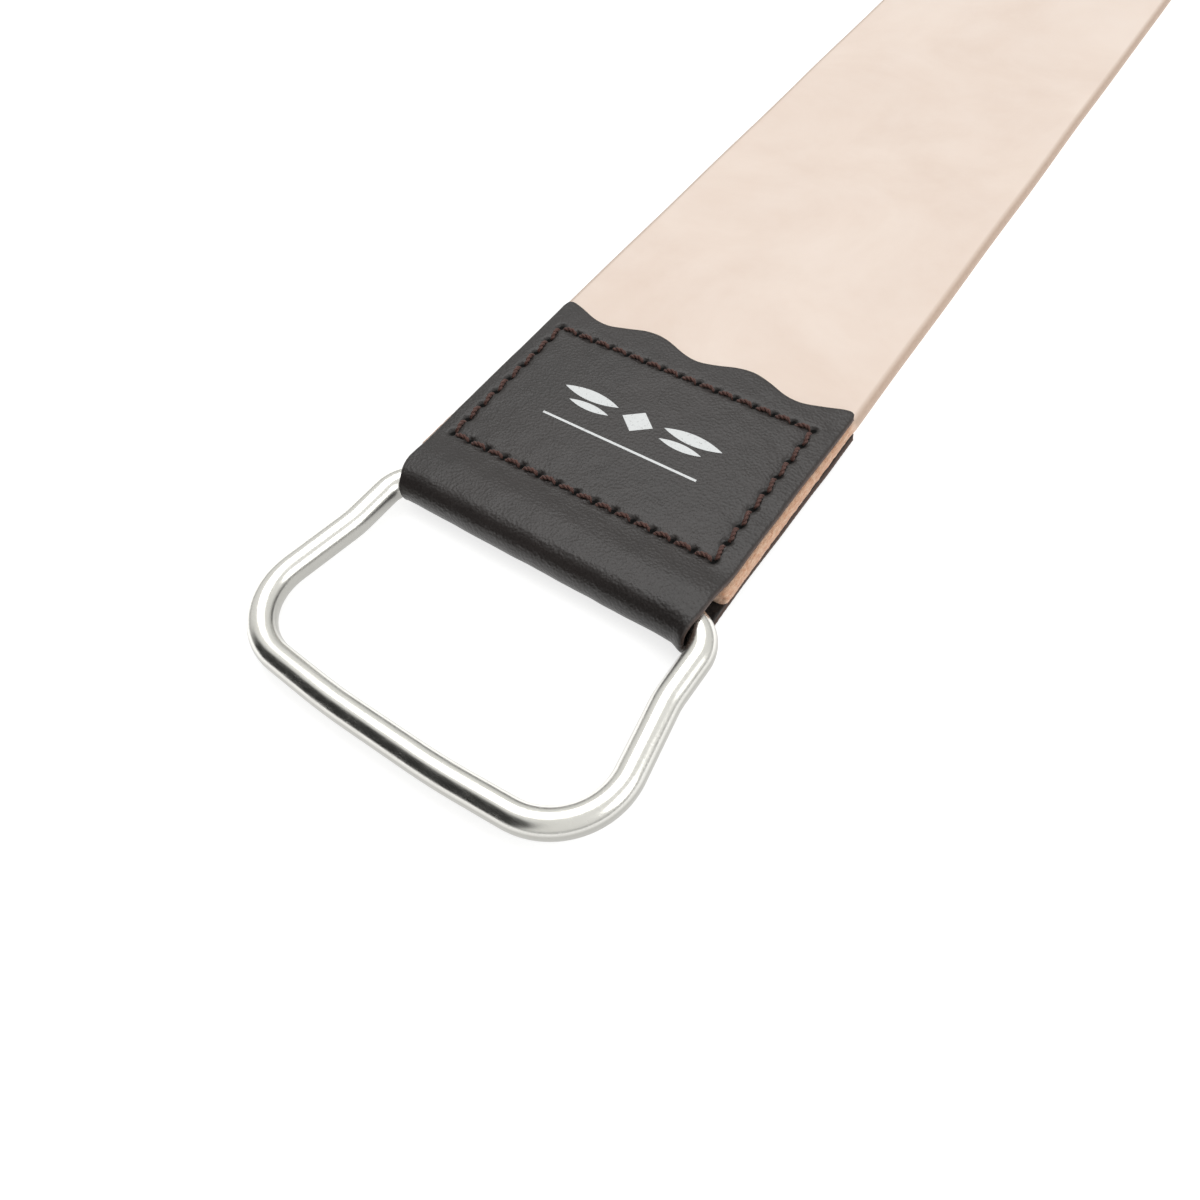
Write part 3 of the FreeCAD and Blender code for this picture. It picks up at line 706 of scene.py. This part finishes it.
def rounded_path(corners, step=0.5):
    """Points along straight runs joined by arcs. Each corner is (x, y, radius)."""
    points = []
    place = Vector(corners[0][:2])
    for before, here, after in zip(corners, corners[1:], corners[2:]):
        point = Vector(here[:2])
        back = (Vector(before[:2]) - point).normalized()
        ahead = (Vector(after[:2]) - point).normalized()
        half_angle = back.angle(ahead) / 2
        arc_start = point + back * (here[2] / math.tan(half_angle))
        centre = point + (back + ahead).normalized() * (here[2] / math.sin(half_angle))
        run = (arc_start - place).length
        for index in range(max(1, round(run / step))):
            points.append(place.lerp(arc_start, index / max(1, round(run / step))))
        first = (arc_start - centre).angle_signed(Vector((1, 0)))
        sweep = math.pi - 2 * half_angle
        sign = 1 if back.cross(ahead) < 0 else -1
        count = max(2, round(here[2] * sweep / step))
        for index in range(count):
            angle = first + sign * sweep * index / count
            points.append(centre + here[2] * Vector((math.cos(angle), math.sin(angle))))
        place = centre + here[2] * Vector((math.cos(first + sign * sweep), math.sin(first + sign * sweep)))
    end = Vector(corners[-1][:2])
    count = max(1, round((end - place).length / step))
    points += [place.lerp(end, index / count) for index in range(count)]
    return np.array([(x, y, 0.0) for x, y in points])


NECK_HALF = 29.75
WIRE_CORNER = 5.7
HANDLE_CORNERS = [
    (NECK_HALF, 0, WIRE_CORNER),
    (NECK_HALF, 13.1, 18.0),
    (33.6, 36.9, 11.1),
    (10.0, 38.5, 120.0),
]


def mirrored_ring(corners):
    left = [(-x, y, radius) for x, y, radius in reversed(corners)]
    return rounded_path([(0, 0, 0)] + corners + left + [(0, 0, 0)])


def make_handle():
    """The waisted wire handle, reaching towards -Y from its bar."""
    path = mirrored_ring(HANDLE_CORNERS)
    path[:, :2] *= -1
    vertices, faces = tube(path, WIRE_RADIUS, 40, closed=True)
    vertices += HANDLE_BAR + HANDLE_PLAY
    return new_piece("handle_wire", vertices, faces, "handle", WIRE_NICKEL, "wire_handle")


def make_d_ring():
    """The D-ring, reaching towards +Y from its bar and tilted up to the swivel eye."""
    reach = np.linalg.norm(EYE_PLACE - HANGING_BAR)
    leg_end = reach - NECK_HALF
    start = rounded_path([(0, 0, 0), (NECK_HALF, 0, WIRE_CORNER), (NECK_HALF, leg_end, 0)])
    angles = np.linspace(0, math.pi, 180)
    bow = np.column_stack([NECK_HALF * np.cos(angles), leg_end + NECK_HALF * np.sin(angles), 0 * angles])
    finish = start[1:][::-1] * [-1, 1, 1]
    path = np.concatenate([start, bow, finish])
    rise = (EYE_PLACE - HANGING_BAR)[2] / reach
    tilted = path.copy()
    tilted[:, 1] = path[:, 1] * math.sqrt(1 - rise**2)
    tilted[:, 2] = path[:, 1] * rise
    vertices, faces = tube(tilted, WIRE_RADIUS, 36, closed=True)
    vertices += HANGING_BAR
    return new_piece("d_ring_wire", vertices, faces, "ring", WIRE_NICKEL, "hanging_ring")


def make_spring():
    """The coil spring behind the bolt, which the bolt presses together as it slides back."""
    low, high = box_mm("bolt_spring")
    middle = (low + high) / 2
    coil_radius = (high[0] - low[0]) / 2 - SPRING_WIRE
    turn = np.linspace(0, 2 * math.pi * SPRING_TURNS, 36 * SPRING_TURNS)
    path = np.column_stack(
        [
            middle[0] + coil_radius * np.cos(turn),
            np.linspace(low[1] + SPRING_WIRE, high[1] - SPRING_WIRE, len(turn)),
            middle[2] + coil_radius * np.sin(turn),
        ]
    )
    vertices, faces = tube(path, SPRING_WIRE, 10, closed=False)
    piece = new_piece("coil_spring", vertices, faces, "snap", SPRING_STEEL, "bolt_spring")
    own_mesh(piece)


# ---------------------------------------------------------------- printed ornament


def prism(outline, row_y):
    """A thin film of print on the front leaf, from a closed outline in the tab's frame."""
    film_low, film_high = OUTER_FLAT - 0.05, OUTER_FLAT + 0.08
    count = len(outline)
    points = [(x, y, film_low) for x, y in outline] + [(x, y, film_high) for x, y in outline]
    faces = [tuple(range(count))[::-1], tuple(range(count, 2 * count))]
    for index in range(count):
        after = (index + 1) % count
        faces.append((index, after, count + after, count + index))
    return placed(points, row_y, False), faces


def leaf_outline(centre_x, centre_y, length, width):
    """A pointed leaf shape lying along X."""
    along = np.linspace(-1, 1, 15)
    upper = [(centre_x + length / 2 * t, centre_y + width / 2 * (1 - t * t)) for t in along[::-1]]
    lower = [(centre_x + length / 2 * t, centre_y - width / 2 * (1 - t * t)) for t in along[1:-1]]
    return upper + lower


def rule_outline(centre_y, length, width):
    """A thin bar lying along X."""
    x, y = length / 2, width / 2
    return [(x, centre_y + y), (-x, centre_y + y), (-x, centre_y - y), (x, centre_y - y)]


def make_ornament():
    """A plain printed ornament: a lozenge between two long leaves, over a thin rule."""
    row_y = PRINT_MIDDLE + 3.0
    rule_y = PRINT_MIDDLE - 3.0
    lozenge = [(3.0, row_y), (0, row_y + 2.4), (-3.0, row_y), (0, row_y - 2.4)]
    outlines = [lozenge, rule_outline(rule_y, 30.0, 0.45)]
    for side in (-1, 1):
        outlines.append(leaf_outline(side * 10.0, row_y + 1.1, 11.0, 2.3))
        outlines.append(leaf_outline(side * 9.0, row_y - 1.3, 8.0, 1.5))
    vertices, faces = joined([prism(outline, HANDLE_ROW) for outline in outlines])
    piece = new_piece("printed_ornament", vertices, faces, "strop", PRINT)
    piece.data.polygons.foreach_set("use_smooth", [False] * len(piece.data.polygons))


# ---------------------------------------------------------------- the object

make_strap()
make_tab("front_tab", "handle_tab", HANDLE_ROW, False, 21, 0.4, 26.5, 27.9)
make_tab("back_tab", "hanging_tab", HANGING_ROW, True, 34, 0.0, 27.3, 27.3)
make_seam("front_seam_top", "handle_tab_top_thread", HANDLE_ROW, False, 1, 3)
make_seam("front_seam_under", "handle_tab_bobbin_thread", HANDLE_ROW, False, -1, 4)
make_seam("back_seam_top", "hanging_tab_top_thread", HANGING_ROW, True, 1, 5)
make_seam("back_seam_under", "hanging_tab_bobbin_thread", HANGING_ROW, True, -1, 6)
make_handle()
make_d_ring()
make_spring()
make_ornament()

HARDWARE = {
    "swivel_eye": CAST_NICKEL,
    "snap_body": CAST_NICKEL,
    "snap_bolt": BOLT_STEEL,
    "thumb_knob": CAST_NICKEL,
}
for node, material in HARDWARE.items():
    piece = frame["nodes"][node]
    piece.data.materials.clear()
    piece.data.materials.append(material)


# ---------------------------------------------------------------- floor, light and camera


def make_floor():
    half = 3.0
    mesh = bpy.data.meshes.new("floor")
    corners = [(-half, -half, 0), (half, -half, 0), (half, half, 0), (-half, half, 0)]
    mesh.from_pydata(corners, [], [(0, 1, 2, 3)])
    floor = bpy.data.objects.new("floor", mesh)
    floor.location.z = CAD_LOW[2] - 0.0001
    mesh.materials.append(white_floor())
    bpy.context.scene.collection.objects.link(floor)


CARD_DIRECTION = (-0.46, -0.74, 0.50)


def grey_ramp(tree, source, stops):
    """A colour ramp of greys from (position, level) pairs."""
    ramp = tree.nodes.new("ShaderNodeValToRGB")
    ramp.color_ramp.interpolation = "EASE"
    elements = ramp.color_ramp.elements
    elements[0].position, elements[1].position = stops[0][0], stops[-1][0]
    for position, _ in stops[1:-1]:
        elements.new(position)
    for element, (_, level) in zip(elements, stops):
        element.color = (level, level, level * 0.985, 1.0)
    tree.links.new(source, ramp.inputs["Fac"])
    return ramp.outputs["Color"]


def make_sky():
    """A white dome, grey near the horizon, with one dark card standing in front of the handle."""
    world = bpy.data.worlds.new("studio")
    bpy.context.scene.world = world
    world.use_nodes = True
    tree = world.node_tree
    background = tree.nodes["Background"]
    direction = tree.nodes.new("ShaderNodeTexCoord").outputs["Generated"]
    parts = tree.nodes.new("ShaderNodeSeparateXYZ")
    tree.links.new(direction, parts.inputs[0])
    dome = grey_ramp(tree, parts.outputs["Z"], ((0.0, 0.40), (0.10, 0.50), (0.34, 0.95), (1.0, 1.0)))
    towards_card = tree.nodes.new("ShaderNodeVectorMath")
    towards_card.operation = "DOT_PRODUCT"
    towards_card.inputs[1].default_value = Vector(CARD_DIRECTION).normalized()
    tree.links.new(direction, towards_card.inputs[0])
    card = grey_ramp(tree, towards_card.outputs["Value"], ((0.76, 1.0), (0.86, 0.03)))
    product = tree.nodes.new("ShaderNodeMix")
    product.data_type = "RGBA"
    product.blend_type = "MULTIPLY"
    product.inputs[0].default_value = 1.0
    tree.links.new(dome, product.inputs[6])
    tree.links.new(card, product.inputs[7])
    tree.links.new(product.outputs[2], background.inputs["Color"])
    background.inputs["Strength"].default_value = 0.72


def make_light(name, place, target, size, power):
    light = bpy.data.lights.new(name, "AREA")
    light.shape = "DISK"
    light.size = size
    light.energy = power
    lamp = bpy.data.objects.new(name, light)
    lamp.location = place
    lamp.rotation_euler = (Vector(target) - Vector(place)).to_track_quat("-Z", "Y").to_euler()
    bpy.context.scene.collection.objects.link(lamp)


def make_camera():
    """Close over the handle end, looking down along the strap with a wide lens."""
    camera_data = bpy.data.cameras.new("camera")
    camera = bpy.data.objects.new("camera", camera_data)
    camera_data.sensor_width = 36.0
    camera_data.lens = 27.95
    camera_data.clip_start = 0.01
    # Where the camera stands from the middle of the stitch row next to the fold, on the front leaf.
    stand = Vector((65.74, -71.49, 110.19))
    row_middle = Vector((0, HANDLE_ROW, MIDDLE_Z + OUTER_FLAT))
    camera.location = (row_middle + stand) * MM
    camera.rotation_euler = Euler([math.radians(angle) for angle in (34.36, 4.50, 35.14)])
    bpy.context.scene.collection.objects.link(camera)
    bpy.context.scene.camera = camera


make_floor()
make_sky()
near = (0, HANDLE_ROW * MM, 0)
make_light("overhead", (-0.25, near[1] + 0.35, 0.9), near, 0.8, 3.3)
make_light("side_fill", (0.7, near[1] + 0.1, 0.5), near, 0.5, 1.5)
make_camera()
bpy.context.scene.view_settings.view_transform = "Standard"

bpy.context.view_layer.update()
